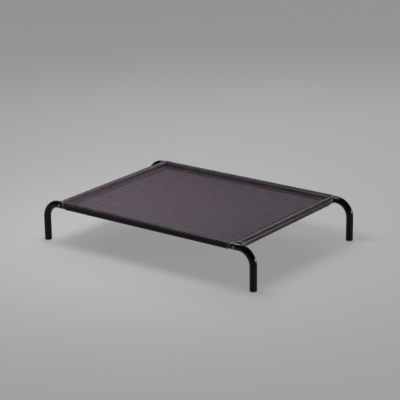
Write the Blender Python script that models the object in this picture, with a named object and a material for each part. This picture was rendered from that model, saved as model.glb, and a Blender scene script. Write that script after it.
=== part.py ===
"""Raised pet bed: a bolted steel tube frame that holds a stretched mesh sling.

Units are metres and +Z is up. The origin lies on the floor under the middle of the bed. The two long
rails run along X, with a leg at each end, and the two crossbars run along Y between them.
"""

import math

import bmesh
import bpy
from mathutils import Matrix, Vector

# Frame tubes
TUBE_DIAMETER = 0.025
TUBE_WALL = 0.0012
LEG_SPACING = 0.875  # leg axis to leg axis, along X
RAIL_SPACING = 0.588  # rail axis to rail axis, along Y
RAIL_HEIGHT = 0.1385  # from the floor to the rails' axes
BEND_RADIUS = 0.055  # to the tube's axis
BEND_TO_CROSSBAR = 0.0005  # straight rail between a bend and the crossbar's side

# Foot caps
CAP_HEAD_HEIGHT = 0.005
CAP_EDGE_RADIUS = 0.0025
CAP_STEM_LENGTH = 0.018
CAP_STEM_WALL = 0.002
CAP_RIB_COUNT = 3
CAP_RIB_DEPTH = 0.0007
CAP_RIB_PITCH = 0.005

# Corner fastenings
BOLT_DIAMETER = 0.006
BOLT_LENGTH = 0.045  # under the head
BOLT_TIP_CHAMFER = 0.0008
BOLT_HEAD_DIAMETER = 0.0105
BOLT_HEAD_HEIGHT = 0.0033
SOCKET_WIDTH = 0.004  # across the flats
SOCKET_DEPTH = 0.002
WASHER_DIAMETER = 0.016
WASHER_THICKNESS = 0.0015
PLUG_LENGTH = 0.022
PLUG_GROOVE_DEPTH = 0.0008
PLUG_GROOVE_WIDTH = 0.003

# Mesh sling
CLOTH_THICKNESS = 0.0008
SLEEVE_EASE = 0.0006  # between a tube and the sleeve round it
SEAM_DROP = 0.0025  # the panel's edges lie this far under the tube axes
SEAM_WIDTH = 0.018  # overlap of a sleeve's two flat edges with the panel
SEAM_FILLET = 0.004  # radius where a sleeve's loop turns into its flat edges
PANEL_SAG = 0.006
CUT_START = 0.002  # a sleeve's end stops this far short of the crossing tube's axis on top
RAIL_CUT_SLOPE = 0.74  # how fast a rail sleeve's end falls back, per length of cloth round the tube
RAIL_CUT_LIMIT = 0.032
CROSSBAR_CUT_SLOPE = 1.35
CROSSBAR_CUT_LIMIT = 0.048

# Gap that touching pieces keep
FIT = 0.0003

# Facets
TUBE_SIDES = 24
BEND_STEPS = 8
SMALL_SIDES = 20
SLEEVE_STEPS = 5
LOOP_STEPS = 20
FILLET_STEPS = 3
PANEL_STEPS_X = 18
PANEL_STEPS_Y = 12
MERGE_DISTANCE = 1e-6
SMOOTH_ANGLE = math.radians(35)

# Sizes that follow from those above
TUBE_RADIUS = TUBE_DIAMETER / 2
TUBE_BORE_RADIUS = TUBE_RADIUS - TUBE_WALL
CROSSBAR_SPACING = LEG_SPACING - 2 * (BEND_RADIUS + BEND_TO_CROSSBAR + TUBE_RADIUS)
LEG_BOTTOM = CAP_HEAD_HEIGHT + FIT
LOOP_RADIUS = TUBE_RADIUS + SLEEVE_EASE + CLOTH_THICKNESS / 2
LAYER_STEP = CLOTH_THICKNESS + FIT

FRONT, REAR = -1, 1
LEFT, RIGHT = -1, 1
SIDE_NAMES = {FRONT: "front", REAR: "rear"}
END_NAMES = {LEFT: "left", RIGHT: "right"}


def clear_scene():
    for obj in list(bpy.data.objects):
        bpy.data.objects.remove(obj, do_unlink=True)


def make_material(name, colour, roughness, metallic):
    material = bpy.data.materials.new(name)
    material.use_nodes = True
    material.diffuse_color = (*colour, 1.0)
    shader = material.node_tree.nodes["Principled BSDF"]
    shader.inputs["Base Color"].default_value = (*colour, 1.0)
    shader.inputs["Roughness"].default_value = roughness
    shader.inputs["Metallic"].default_value = metallic
    return material


def make_mesh(name, bm, material):
    """The bmesh as a mesh with one material, smooth except across sharp edges."""
    mesh = bpy.data.meshes.new(name)
    bm.to_mesh(mesh)
    bm.free()
    mesh.materials.append(material)
    mesh.shade_smooth()
    mesh.set_sharp_from_angle(angle=SMOOTH_ANGLE)
    return mesh


def place(name, mesh, parent=None, location=(0, 0, 0), rotation=(0, 0, 0)):
    obj = bpy.data.objects.new(name, mesh)
    obj.location = location
    obj.rotation_euler = rotation
    obj.parent = parent
    bpy.context.scene.collection.objects.link(obj)
    return obj


def place_cutter(name, radius, length, location, rotation):
    """A long round bar that Booleans take away. It isn't a piece of the bed."""
    bm = bmesh.new()
    bmesh.ops.create_cone(
        bm, cap_ends=True, segments=TUBE_SIDES, radius1=radius, radius2=radius, depth=length
    )
    mesh = bpy.data.meshes.new(name)
    bm.to_mesh(mesh)
    bm.free()
    cutter = place(name, mesh, location=location, rotation=rotation)
    cutter.hide_render = True
    cutter.display_type = "WIRE"
    return cutter


def add_wall(obj, thickness, offset):
    wall = obj.modifiers.new("Wall", "SOLIDIFY")
    wall.thickness = thickness
    wall.offset = offset


def cut(obj, cutters):
    for cutter in cutters:
        boolean = obj.modifiers.new(cutter.name, "BOOLEAN")
        boolean.operation = "DIFFERENCE"
        boolean.solver = "EXACT"
        boolean.object = cutter


def arc(centre, radius, start, end, steps):
    """Points of an arc from one angle to another, both included."""
    angles = [start + (end - start) * i / steps for i in range(steps + 1)]
    return [(centre[0] + radius * math.cos(a), centre[1] + radius * math.sin(a)) for a in angles]


def turned(profile, closed=False, sides=SMALL_SIDES):
    """A profile of (radius, height) points spun once round the Z axis."""
    bm = bmesh.new()
    points = [bm.verts.new((radius, 0, height)) for radius, height in profile]
    edges = [bm.edges.new(pair) for pair in zip(points, points[1:])]
    if closed:
        edges.append(bm.edges.new((points[-1], points[0])))
    bmesh.ops.spin(
        bm, geom=points + edges, cent=(0, 0, 0), axis=(0, 0, 1), angle=2 * math.pi, steps=sides
    )
    bmesh.ops.remove_doubles(bm, verts=bm.verts, dist=MERGE_DISTANCE)
    bmesh.ops.recalc_face_normals(bm, faces=bm.faces)
    return bm


def extruded(bm, ring, offset):
    """Draws a ring of edges along a straight line and returns the new ring."""
    made = bmesh.ops.extrude_edge_only(bm, edges=ring)["geom"]
    bmesh.ops.translate(bm, verts=[v for v in made if isinstance(v, bmesh.types.BMVert)], vec=offset)
    return [e for e in made if isinstance(e, bmesh.types.BMEdge) and not e.is_wire and e.is_boundary]


def bent(bm, ring, centre):
    """Spins a ring of edges a quarter turn about Y and returns the new ring."""
    made = bmesh.ops.spin(
        bm, geom=ring, cent=centre, axis=(0, 1, 0), angle=math.pi / 2, steps=BEND_STEPS
    )["geom_last"]
    return [e for e in made if isinstance(e, bmesh.types.BMEdge)]


def rail_skin():
    """The outside of a rail, open at both feet: up a leg, round a bend, along, round and down."""
    leg = LEG_SPACING / 2
    bend_height = -BEND_RADIUS
    foot_height = LEG_BOTTOM - RAIL_HEIGHT
    bm = bmesh.new()
    start = Matrix.Translation((-leg, 0, foot_height))
    bmesh.ops.create_circle(bm, segments=TUBE_SIDES, radius=TUBE_RADIUS, matrix=start)
    ring = list(bm.edges)
    ring = extruded(bm, ring, Vector((0, 0, bend_height - foot_height)))
    ring = bent(bm, ring, (BEND_RADIUS - leg, 0, bend_height))
    ring = extruded(bm, ring, Vector((LEG_SPACING - 2 * BEND_RADIUS, 0, 0)))
    ring = bent(bm, ring, (leg - BEND_RADIUS, 0, bend_height))
    extruded(bm, ring, Vector((0, 0, foot_height - bend_height)))
    bmesh.ops.recalc_face_normals(bm, faces=bm.faces)
    return bm


def crossbar_skin():
    """The outside of a straight tube between the two rail axes, open at both ends."""
    bm = bmesh.new()
    bmesh.ops.create_cone(
        bm,
        cap_ends=False,
        segments=TUBE_SIDES,
        radius1=TUBE_RADIUS,
        radius2=TUBE_RADIUS,
        depth=RAIL_SPACING,
        matrix=Matrix.Rotation(math.pi / 2, 4, "X"),
    )
    bmesh.ops.recalc_face_normals(bm, faces=bm.faces)
    return bm


def foot_cap():
    """A plug with a rounded foot as wide as the tube and a hollow ribbed stem inside it."""
    rib = TUBE_BORE_RADIUS - FIT
    core = rib - CAP_RIB_DEPTH
    bore = core - CAP_STEM_WALL
    stem_top = CAP_HEAD_HEIGHT + CAP_STEM_LENGTH
    edge = (TUBE_RADIUS - CAP_EDGE_RADIUS, CAP_EDGE_RADIUS)
    profile = [(0, 0)]
    profile += arc(edge, CAP_EDGE_RADIUS, -math.pi / 2, 0, 3)
    profile += [(TUBE_RADIUS, CAP_HEAD_HEIGHT), (core, CAP_HEAD_HEIGHT)]
    for i in range(CAP_RIB_COUNT):
        height = stem_top - (CAP_RIB_COUNT - i) * CAP_RIB_PITCH
        profile += [(core, height), (rib, height), (core, height + CAP_RIB_PITCH * 0.8)]
    profile += [(core, stem_top), (bore, stem_top), (bore, CAP_HEAD_HEIGHT), (0, CAP_HEAD_HEIGHT)]
    return turned(profile)


def on_hexagon(point, apothem):
    """The point moved in or out from the Z axis onto a hexagon with corners along X."""
    angle = math.atan2(point.y, point.x) % (math.pi / 3) - math.pi / 6
    reach = apothem / math.cos(angle) / math.hypot(point.x, point.y)
    return Vector((point.x * reach, point.y * reach, point.z))


def corner_bolt():
    """A button-head bolt along Z, seen from the rail's axis: head outside, shank through the rail."""
    seat = TUBE_RADIUS + FIT + WASHER_THICKNESS + FIT
    tip = seat - BOLT_LENGTH
    shank = BOLT_DIAMETER / 2
    head = BOLT_HEAD_DIAMETER / 2
    socket = SOCKET_WIDTH / 2
    crown = seat + BOLT_HEAD_HEIGHT
    floor = crown - SOCKET_DEPTH
    crown_radius = (head + socket) / 2
    profile = [
        (0, tip),
        (shank - BOLT_TIP_CHAMFER, tip),
        (shank, tip + BOLT_TIP_CHAMFER),
        (shank, seat),
        (head, seat),
        (head, seat + BOLT_HEAD_HEIGHT * 0.3),
        (head * 0.9, seat + BOLT_HEAD_HEIGHT * 0.75),
        (crown_radius, crown),
        (socket, crown),
        (socket, floor),
        (0, floor),
    ]
    bm = turned(profile, sides=24)
    for vert in bm.verts:
        radius = math.hypot(vert.co.x, vert.co.y)
        if vert.co.z > seat and abs(radius - socket) < MERGE_DISTANCE:
            vert.co = on_hexagon(vert.co, socket)
    return bm


def saddle_washer():
    """A flat ring bent round the rail, as an open skin that lies on the tube with a fit gap."""
    seat = TUBE_RADIUS + FIT
    hole = BOLT_DIAMETER / 2 + FIT
    rings = 3
    bm = bmesh.new()
    points = []
    for i in range(rings + 1):
        radius = hole + (WASHER_DIAMETER / 2 - hole) * i / rings
        for x, y in arc((0, 0), radius, 0, 2 * math.pi, SMALL_SIDES)[:-1]:
            points.append(bm.verts.new((x, y, math.sqrt(seat**2 - y**2))))
    for i in range(rings):
        for j in range(SMALL_SIDES):
            following = (j + 1) % SMALL_SIDES
            inner, outer = i * SMALL_SIDES, (i + 1) * SMALL_SIDES
            corners = (inner + j, outer + j, outer + following, inner + following)
            bm.faces.new([points[k] for k in corners])
    return bm


def threaded_plug():
    """A grooved plug with the bolt's hole through it, just inside the crossbar's end."""
    radius = TUBE_BORE_RADIUS - FIT
    groove = radius - PLUG_GROOVE_DEPTH
    hole = BOLT_DIAMETER / 2 + FIT
    near = -(TUBE_RADIUS + FIT)
    far = near - PLUG_LENGTH
    first = near - PLUG_LENGTH / 2 + PLUG_GROOVE_WIDTH / 2
    second = first - PLUG_GROOVE_WIDTH
    profile = [
        (hole, near),
        (hole, far),
        (radius, far),
        (radius, second),
        (groove, second),
        (groove, first),
        (radius, first),
        (radius, near),
    ]
    return turned(profile, closed=True)


def loop_outline():
    """The middle of a sleeve's cloth, as (inward, height) points from the tube's axis.

    It runs from the upper flat edge over the tube, down its outer side and back under it to the lower
    flat edge. Each flat edge meets the loop in a fillet that is tangent to both.
    """
    upper, lower = -SEAM_DROP + LAYER_STEP, -SEAM_DROP - LAYER_STEP
    reach = LOOP_RADIUS + SEAM_FILLET
    above, below = upper + SEAM_FILLET, lower - SEAM_FILLET
    above_in, below_in = math.sqrt(reach**2 - above**2), math.sqrt(reach**2 - below**2)
    first, last = math.atan2(above, above_in), 2 * math.pi + math.atan2(below, below_in)
    edge = above_in + SEAM_WIDTH
    outline = [(edge, upper)]
    outline += arc((above_in, above), SEAM_FILLET, -math.pi / 2, first - math.pi, FILLET_STEPS)
    outline += arc((0, 0), LOOP_RADIUS, first, last, LOOP_STEPS)[1:-1]
    outline += arc((below_in, below), SEAM_FILLET, last - math.pi, math.pi / 2, FILLET_STEPS)
    outline += [(edge, lower)]
    return outline


def sleeve_skin(length, cut_slope, cut_limit):
    """A sleeve's cloth along X, with +Y inward, between crossing tubes whose axes are length apart.

    Inside, its ends are mitred against the crossing sleeves. Outside they are cut slantwise, which
    leaves the corner bolts bare.
    """
    outline = loop_outline()
    bm = bmesh.new()
    rows = []
    travelled = 0.0
    previous = outline[0]
    for inward, height in outline:
        past_top = inward <= 0 or height < -SEAM_DROP
        if past_top:
            travelled += math.dist(previous, (inward, height))
        previous = (inward, height)
        fallen_back = min(CUT_START + cut_slope * travelled, cut_limit)
        mitred = inward + CLOTH_THICKNESS / 2 + FIT
        end = length / 2 - max(fallen_back, mitred)
        steps = range(SLEEVE_STEPS + 1)
        rows.append([bm.verts.new((end * (2 * i / SLEEVE_STEPS - 1), inward, height)) for i in steps])
    for row, following in zip(rows, rows[1:]):
        for i in range(SLEEVE_STEPS):
            bm.faces.new((row[i], row[i + 1], following[i + 1], following[i]))
    return bm


def panel_line(index, steps, half, free):
    """The place of one grid line across the panel: even inside the seams, with one last strip in each."""
    if index in (0, steps):
        return half * (2 * index / steps - 1)
    return free * (2 * (index - 1) / (steps - 2) - 1)


def panel_skin():
    """The panel's cloth: flat where the sleeves' edges hold it, and slightly sagging inside them."""
    edge_in = max(inward for inward, height in loop_outline()) - SEAM_WIDTH
    half_x, half_y = CROSSBAR_SPACING / 2 - edge_in, RAIL_SPACING / 2 - edge_in
    free_x, free_y = half_x - SEAM_WIDTH, half_y - SEAM_WIDTH
    bm = bmesh.new()
    bmesh.ops.create_grid(bm, x_segments=PANEL_STEPS_X, y_segments=PANEL_STEPS_Y, size=1)
    for vert in bm.verts:
        column = round((vert.co.x + 1) / 2 * PANEL_STEPS_X)
        row = round((vert.co.y + 1) / 2 * PANEL_STEPS_Y)
        x = panel_line(column, PANEL_STEPS_X, half_x, free_x)
        y = panel_line(row, PANEL_STEPS_Y, half_y, free_y)
        sag_x, sag_y = max(0, 1 - (x / free_x) ** 2), max(0, 1 - (y / free_y) ** 2)
        vert.co = (x, y, -PANEL_SAG * sag_x * sag_y)
    return bm


def build_frame(bed, coat):
    """The two rails and the two crossbars, with the bolts' holes and the coped ends cut."""
    half_rails, half_bars = RAIL_SPACING / 2, CROSSBAR_SPACING / 2
    overrun = 2 * TUBE_DIAMETER
    bolt_holes = [
        place_cutter(
            f"bolt_hole_cutter_{END_NAMES[end]}",
            BOLT_DIAMETER / 2 + FIT,
            RAIL_SPACING + overrun,
            (end * half_bars, 0, RAIL_HEIGHT),
            (math.pi / 2, 0, 0),
        )
        for end in (LEFT, RIGHT)
    ]
    copes = [
        place_cutter(
            f"cope_cutter_{SIDE_NAMES[side]}",
            TUBE_RADIUS + FIT,
            CROSSBAR_SPACING + overrun,
            (0, side * half_rails, RAIL_HEIGHT),
            (0, math.pi / 2, 0),
        )
        for side in (FRONT, REAR)
    ]
    rail_mesh = make_mesh("rail", rail_skin(), coat)
    for side in (FRONT, REAR):
        location = (0, side * half_rails, RAIL_HEIGHT)
        rail = place(f"{SIDE_NAMES[side]}_rail", rail_mesh, bed, location)
        add_wall(rail, TUBE_WALL, -1)
        cut(rail, bolt_holes)
    bar_mesh = make_mesh("crossbar", crossbar_skin(), coat)
    for end in (LEFT, RIGHT):
        bar = place(f"{END_NAMES[end]}_crossbar", bar_mesh, bed, (end * half_bars, 0, RAIL_HEIGHT))
        add_wall(bar, TUBE_WALL, -1)
        cut(bar, copes)


def build_feet(bed, plastic):
    mesh = make_mesh("foot_cap", foot_cap(), plastic)
    for side in (FRONT, REAR):
        for end in (LEFT, RIGHT):
            location = (end * LEG_SPACING / 2, side * RAIL_SPACING / 2, 0)
            place(f"foot_cap_{SIDE_NAMES[side]}_{END_NAMES[end]}", mesh, bed, location)


def build_fastenings(bed, zinc, coat):
    """A bolt, a saddle washer and a threaded plug at each corner, on one axis through the rail."""
    bolt = make_mesh("corner_bolt", corner_bolt(), zinc)
    washer = make_mesh("saddle_washer", saddle_washer(), zinc)
    plug = make_mesh("threaded_plug", threaded_plug(), coat)
    for side in (FRONT, REAR):
        for end in (LEFT, RIGHT):
            corner = f"{SIDE_NAMES[side]}_{END_NAMES[end]}"
            location = (end * CROSSBAR_SPACING / 2, side * RAIL_SPACING / 2, RAIL_HEIGHT)
            outward = (-side * math.pi / 2, 0, 0)
            joint = place(f"joint_{corner}", None, bed, location, outward)
            place(f"corner_bolt_{corner}", bolt, joint)
            place(f"threaded_plug_{corner}", plug, joint)
            ring = place(f"saddle_washer_{corner}", washer, joint)
            add_wall(ring, WASHER_THICKNESS, 1)


def build_sling(bed, cloth):
    """The panel and the four sleeves that are sewn to its edges and hold the tubes."""
    half_rails, half_bars = RAIL_SPACING / 2, CROSSBAR_SPACING / 2
    panel = place(
        "mesh_panel", make_mesh("panel", panel_skin(), cloth), bed, (0, 0, RAIL_HEIGHT - SEAM_DROP)
    )
    add_wall(panel, CLOTH_THICKNESS, 0)
    along_rail = make_mesh(
        "rail_sleeve", sleeve_skin(CROSSBAR_SPACING, RAIL_CUT_SLOPE, RAIL_CUT_LIMIT), cloth
    )
    along_bar = make_mesh(
        "crossbar_sleeve", sleeve_skin(RAIL_SPACING, CROSSBAR_CUT_SLOPE, CROSSBAR_CUT_LIMIT), cloth
    )
    for name, mesh, location, turn in (
        ("front_sleeve", along_rail, (0, -half_rails, RAIL_HEIGHT), 0),
        ("right_sleeve", along_bar, (half_bars, 0, RAIL_HEIGHT), math.pi / 2),
        ("rear_sleeve", along_rail, (0, half_rails, RAIL_HEIGHT), math.pi),
        ("left_sleeve", along_bar, (-half_bars, 0, RAIL_HEIGHT), -math.pi / 2),
    ):
        sleeve = place(name, mesh, bed, location, (0, 0, turn))
        add_wall(sleeve, CLOTH_THICKNESS, 0)


def main():
    clear_scene()
    coat = make_material("black_powder_coat", (0.012, 0.010, 0.012), 0.3, 0.0)
    plastic = make_material("black_foot_plastic", (0.015, 0.014, 0.015), 0.55, 0.0)
    zinc = make_material("zinc_plate", (0.55, 0.53, 0.50), 0.35, 1.0)
    insert = make_material("dark_insert", (0.05, 0.05, 0.05), 0.5, 0.0)
    cloth = make_material("coated_mesh", (0.076, 0.061, 0.078), 0.55, 0.0)
    bed = place("pet_bed", None)
    build_frame(bed, coat)
    build_feet(bed, plastic)
    build_fastenings(bed, zinc, insert)
    build_sling(bed, cloth)


main()
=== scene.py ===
"""Looks of the raised pet bed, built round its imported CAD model.

The bed is a frame of black bent tube that holds a stretched sling of coated mesh. Lengths are in metres and
angles in radians. +Z is up, the long rails run along X, and the origin lies on the floor under the middle.
"""

import logging
import math
from dataclasses import dataclass, field
from enum import Enum
from typing import Any

import bpy
import numpy as np
from mathutils import Matrix, Vector


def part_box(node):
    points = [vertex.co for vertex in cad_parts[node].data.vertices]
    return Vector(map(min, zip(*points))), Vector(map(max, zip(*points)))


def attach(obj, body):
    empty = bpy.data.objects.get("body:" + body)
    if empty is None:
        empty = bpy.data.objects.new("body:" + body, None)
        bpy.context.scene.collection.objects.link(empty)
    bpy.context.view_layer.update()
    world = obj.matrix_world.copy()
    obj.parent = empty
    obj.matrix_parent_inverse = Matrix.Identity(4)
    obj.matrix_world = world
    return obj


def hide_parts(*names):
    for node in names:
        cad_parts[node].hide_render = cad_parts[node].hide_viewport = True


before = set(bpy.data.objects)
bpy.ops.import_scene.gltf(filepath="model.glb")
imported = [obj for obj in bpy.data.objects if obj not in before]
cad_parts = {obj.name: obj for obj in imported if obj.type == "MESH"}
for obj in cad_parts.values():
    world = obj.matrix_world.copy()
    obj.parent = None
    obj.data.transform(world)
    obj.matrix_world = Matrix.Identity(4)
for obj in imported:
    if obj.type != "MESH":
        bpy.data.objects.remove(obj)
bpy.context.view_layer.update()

BODY = "root"
SMOOTH_ANGLE = math.radians(32)
QUARTER = math.pi / 2

Colour = tuple[float, float, float]
Place = tuple[float, float, float]
Pair = tuple[float, float]
Numbers = np.ndarray
log = logging.getLogger("pet_bed")


class Side(Enum):
    """One of the two rails, with the sign of its place along Y."""

    FRONT = -1
    REAR = 1


class End(Enum):
    """One end of the bed, with the sign of its place along X."""

    LEFT = -1
    RIGHT = 1


class Edge(Enum):
    """One edge of the sling, with the quarter turns that carry the front edge to it."""

    FRONT = 0
    RIGHT = 1
    REAR = 2
    LEFT = 3

    @property
    def on_rail(self) -> bool:
        """Whether the edge is held by a rail, and not by a crossbar."""
        return self in (Edge.FRONT, Edge.REAR)

    @property
    def tube(self) -> str:
        """The name of the tube that the edge's sleeve goes round."""
        return f"{self.name.lower()}_{'rail' if self.on_rail else 'crossbar'}_tube"

    @property
    def sleeve(self) -> str:
        """The CAD node of the edge's sleeve."""
        return f"{self.name.lower()}_sleeve"

    @property
    def turn(self) -> tuple[int, int]:
        """The cosine and the sine of the turn that carries the front edge to this one."""
        return round(math.cos(self.value * QUARTER)), round(math.sin(self.value * QUARTER))


@dataclass(frozen=True)
class Corner:
    """A corner of the bed, where a rail meets a crossbar."""

    side: Side
    end: End

    @property
    def name(self) -> str:
        """The corner's name, such as front_left."""
        return f"{self.side.name}_{self.end.name}".lower()


CORNERS = [Corner(side, end) for side in Side for end in End]


@dataclass(frozen=True)
class Layout:
    """The sizes that several pieces share, measured on the CAD nodes or named here."""

    tube_radius: float
    rail_height: float
    leg_spacing: float
    rail_spacing: float
    crossbar_spacing: float
    leg_bottom: float
    tube_wall: float = 0.0012
    bend_radius: float = 0.055
    fit: float = 0.0003

    @classmethod
    def from_frame(cls) -> "Layout":
        """Measures the shared sizes on the boxes of the rails and crossbars.

        Returns:
            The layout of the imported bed.
        """
        low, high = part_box("front_rail")
        bar_low, bar_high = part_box("right_crossbar")
        radius = (high.y - low.y) / 2
        return cls(
            tube_radius=radius,
            rail_height=high.z - radius,
            leg_spacing=high.x - low.x - 2 * radius,
            rail_spacing=-(low.y + high.y),
            crossbar_spacing=bar_low.x + bar_high.x,
            leg_bottom=low.z,
        )

    @property
    def bore(self) -> float:
        """The radius of the tubes' inner wall."""
        return self.tube_radius - self.tube_wall

    def half_span(self, edge: Edge) -> float:
        """How far the edge's tube axis is from the middle of the bed."""
        return (self.rail_spacing if edge.on_rail else self.crossbar_spacing) / 2

    def half_length(self, edge: Edge) -> float:
        """How far the crossing tubes' axes are from the middle of the edge."""
        return (self.crossbar_spacing if edge.on_rail else self.rail_spacing) / 2


# Numbers and curves


def smooth_step(low: float, high: float, value: Numbers) -> Numbers:
    """A soft ramp from 0 at low to 1 at high: 3t^2 - 2t^3 of the share t of the way, held outside.

    Args:
        low: Where the ramp starts.
        high: Where it ends.
        value: The numbers to ramp.

    Returns:
        The ramp at each number.
    """
    share = np.clip((value - low) / (high - low), 0, 1)
    return share * share * (3 - 2 * share)


def soft_least(first: Numbers, second: Numbers | float, rounding: float) -> Numbers:
    """The lesser of two curves, with their crossing rounded.

    Half of: the sum, minus the root of the squared difference plus the squared rounding.

    Args:
        first: One curve.
        second: The other curve.
        rounding: How wide the rounded crossing is.

    Returns:
        The rounded lesser curve.
    """
    return (first + second - np.sqrt((first - second) ** 2 + rounding**2)) / 2


def ring_angles(sides: int) -> Numbers:
    """Even angles round a circle, from 0."""
    return np.arange(sides) * 2 * math.pi / sides


def arc(centre: Pair, radius: float, angles: Numbers) -> Numbers:
    """Points round a centre: the centre plus the radius times each angle's cosine and sine."""
    return np.stack([centre[0] + radius * np.cos(angles), centre[1] + radius * np.sin(angles)], 1)


def travelled(path: Numbers) -> Numbers:
    """The length along a path at each of its points: the running sum of the steps between them.

    Args:
        path: The path's points, one per row.

    Returns:
        The length at each point, from 0.
    """
    steps = np.linalg.norm(np.diff(path, axis=0), axis=1)
    return np.concatenate([[0.0], np.cumsum(steps)])


def read_off(wanted: Numbers, lengths: Numbers, table: Numbers) -> list[Numbers]:
    """Each column of a table at the wanted lengths, in a straight line from each row to the next."""
    return [np.interp(wanted, lengths, column) for column in table.T]


# Meshes


@dataclass
class Shape:
    """A mesh in the making: points, groups of faces with equal corner counts, and places on flat cloth."""

    points: Numbers
    faces: list[Numbers]
    flat: Numbers | None = None

    def facing_out(self) -> "Shape":
        """The same closed shape with its faces turned to point out.

        Its signed volume tells: over each face's fan of triangles, the sum of a dot (b cross c), over six.

        Returns:
            The shape, whose signed volume is positive.
        """
        volume = 0.0
        centred = self.points - self.points.mean(0)
        for group in self.faces:
            corners = centred[group]
            across = np.cross(corners[:, 1:-1], corners[:, 2:])
            volume += np.einsum("ik,ijk->", corners[:, 0], across) / 6
        faces = self.faces if volume >= 0 else [group[:, ::-1] for group in self.faces]
        return Shape(self.points, faces, self.flat)


def grid_faces(rows: int, columns: int, rows_close: bool, columns_close: bool) -> Numbers:
    """The quads between the points of a grid that is numbered row by row.

    Args:
        rows: How many rows of points.
        columns: How many points in a row.
        rows_close: Whether the last row joins the first.
        columns_close: Whether each row's last point joins its first.

    Returns:
        Four point numbers for each quad.
    """
    index = np.arange(rows * columns).reshape(rows, columns)
    if rows_close:
        index = np.vstack([index, index[:1]])
    if columns_close:
        index = np.hstack([index, index[:, :1]])
    corners = [index[:-1, :-1], index[:-1, 1:], index[1:, 1:], index[1:, :-1]]
    return np.stack(corners, -1).reshape(-1, 4)


def ring_solid(grid: Numbers) -> Shape:
    """A closed solid from a profile carried along a path that returns to its start.

    Args:
        grid: Points as rows by columns by 3. Both directions close on themselves.

    Returns:
        The solid, facing out.
    """
    rows, columns = grid.shape[:2]
    return Shape(grid.reshape(-1, 3), [grid_faces(rows, columns, True, True)]).facing_out()


def capped_solids(grids: Numbers, flat: Numbers | None = None) -> Shape:
    """Alike closed solids, each of rings in a row, with a flat face over its first and its last ring.

    Args:
        grids: Points as solids by rings by points by 3. Each ring closes on itself.
        flat: The same points on flat cloth, by 2, where the solids are of cloth.

    Returns:
        All the solids as one shape, facing out.
    """
    count, rings, around = grids.shape[:3]
    ring = np.arange(around)
    caps = np.stack([ring[::-1], ring + (rings - 1) * around])
    first = (np.arange(count) * rings * around)[:, None, None]
    groups = (grid_faces(rings, around, False, True), caps)
    faces = [(group + first).reshape(-1, group.shape[1]) for group in groups]
    places = None if flat is None else flat.reshape(-1, 2)
    return Shape(grids.reshape(-1, 3), faces, places).facing_out()


def cloth_solid(grid: Numbers, flat: Numbers, thickness: float) -> Shape:
    """A closed sheet of cloth: the grid moved half a thickness each way along its normals, and its rim.

    The normal is the cross product of the grid's two directions.

    Args:
        grid: The middle of the cloth, as rows by columns by 3.
        flat: The same points on the flat cloth, as rows by columns by 2, in metres.
        thickness: How thick the cloth is.

    Returns:
        The sheet, facing out.
    """
    normals = np.cross(np.gradient(grid, axis=1), np.gradient(grid, axis=0))
    half = normals / np.linalg.norm(normals, axis=-1, keepdims=True) * thickness / 2
    rows, columns = grid.shape[:2]
    other = rows * columns
    index = np.arange(other).reshape(rows, columns)
    rim = np.concatenate([index[0, :-1], index[:-1, -1], index[-1, :0:-1], index[:0:-1, 0]])
    after = np.roll(rim, -1)
    upper = grid_faces(rows, columns, False, False)
    walls = np.stack([after, rim, rim + other, after + other], 1)
    faces = np.vstack([upper, upper[:, ::-1] + other, walls])
    points = np.vstack([(grid + half).reshape(-1, 3), (grid - half).reshape(-1, 3)])
    return Shape(points, [faces], np.tile(flat.reshape(-1, 2), (2, 1))).facing_out()


def turned(profile: Numbers, sides: int) -> Numbers:
    """A profile of (radius, height) points carried round the Z axis.

    Args:
        profile: The profile's points.
        sides: How many points in each ring.

    Returns:
        Points as profile points by sides by 3.
    """
    angles = ring_angles(sides)
    radius, height = profile[:, :1], profile[:, 1:]
    return np.stack(np.broadcast_arrays(radius * np.cos(angles), radius * np.sin(angles), height), -1)


def make_piece(
    name: str, shape: Shape, finish: bpy.types.Material, slot: str, *nodes: str
) -> bpy.types.Object:
    """Puts a shape into the scene as a piece of the bed, with its object at the origin.

    Args:
        name: The piece's name.
        shape: Its points and faces, where the bed has them.
        finish: Its material.
        slot: The record's material slot; not used.
        *nodes: The CAD nodes that it stands for.

    Returns:
        The piece's object.
    """
    mesh = bpy.data.meshes.new(name)
    mesh.from_pydata(shape.points, [], [face for group in shape.faces for face in group.tolist()])
    if shape.flat is not None:
        corners = np.zeros(len(mesh.loops), np.int32)
        mesh.loops.foreach_get("vertex_index", corners)
        layer = mesh.uv_layers.new(name="cloth")
        layer.data.foreach_set("uv", shape.flat[corners].astype(np.float32).ravel())
    mesh.materials.append(finish)
    mesh.shade_smooth()
    mesh.set_sharp_from_angle(angle=SMOOTH_ANGLE)
    piece = bpy.data.objects.new(name, mesh)
    bpy.context.scene.collection.objects.link(piece)
    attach(piece, BODY)
    if nodes:
        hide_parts(*nodes)
    log.info("%s: %d points", name, len(shape.points))
    return piece


# Finishes


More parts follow.
